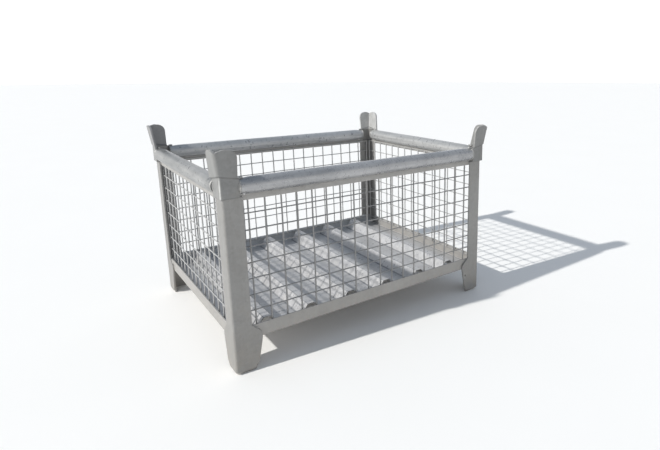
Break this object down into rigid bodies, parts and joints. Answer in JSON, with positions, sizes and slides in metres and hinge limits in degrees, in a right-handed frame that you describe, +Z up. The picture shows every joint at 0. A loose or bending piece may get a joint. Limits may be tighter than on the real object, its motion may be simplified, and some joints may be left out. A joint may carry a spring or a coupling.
{
  "type": "wire mesh container",
  "caption": "Low open-topped steel container on four feet, with welded mesh walls, tubular top rails, a ribbed floor and stacking ears at the corners.",
  "frame": {"origin": "on the ground under the middle of the container", "axes": "+X along the long side, +Y from front to rear, +Z up"},
  "size_m": [1.0404, 0.8404, 0.68],
  "materials": {
    "post_sheet": "hot-dip galvanised, weathered",
    "ear_plate": "hot-dip galvanised, dull",
    "rail_tube": "hot-dip galvanised, fairly bright",
    "rail_section": "hot-dip galvanised, weathered",
    "mesh_wire": "hot-dip galvanised",
    "floor_sheet": "hot-dip galvanised, fairly bright"
  },
  "bodies": {
    "root": {"front_left_post": "post_sheet", "front_left_foot_liner": "post_sheet", "front_left_stacking_ear": "ear_plate", "front_right_post": "post_sheet", "front_right_foot_liner": "post_sheet", "front_right_stacking_ear": "ear_plate", "rear_right_post": "post_sheet", "rear_right_foot_liner": "post_sheet", "rear_right_stacking_ear": "ear_plate", "rear_left_post": "post_sheet", "rear_left_foot_liner": "post_sheet", "rear_left_stacking_ear": "ear_plate", "front_top_rail": "rail_tube", "front_mesh_strip": "rail_section", "front_mesh_panel": "mesh_wire", "front_bottom_rail": "rail_section", "right_top_rail": "rail_tube", "right_mesh_strip": "rail_section", "right_mesh_panel": "mesh_wire", "right_bottom_rail": "rail_section", "rear_top_rail": "rail_tube", "rear_mesh_strip": "rail_section", "rear_mesh_panel": "mesh_wire", "rear_bottom_rail": "rail_section", "left_top_rail": "rail_tube", "left_mesh_strip": "rail_section", "left_mesh_panel": "mesh_wire", "left_bottom_rail": "rail_section", "floor_sheet": "floor_sheet"}
  },
  "joints": []
}
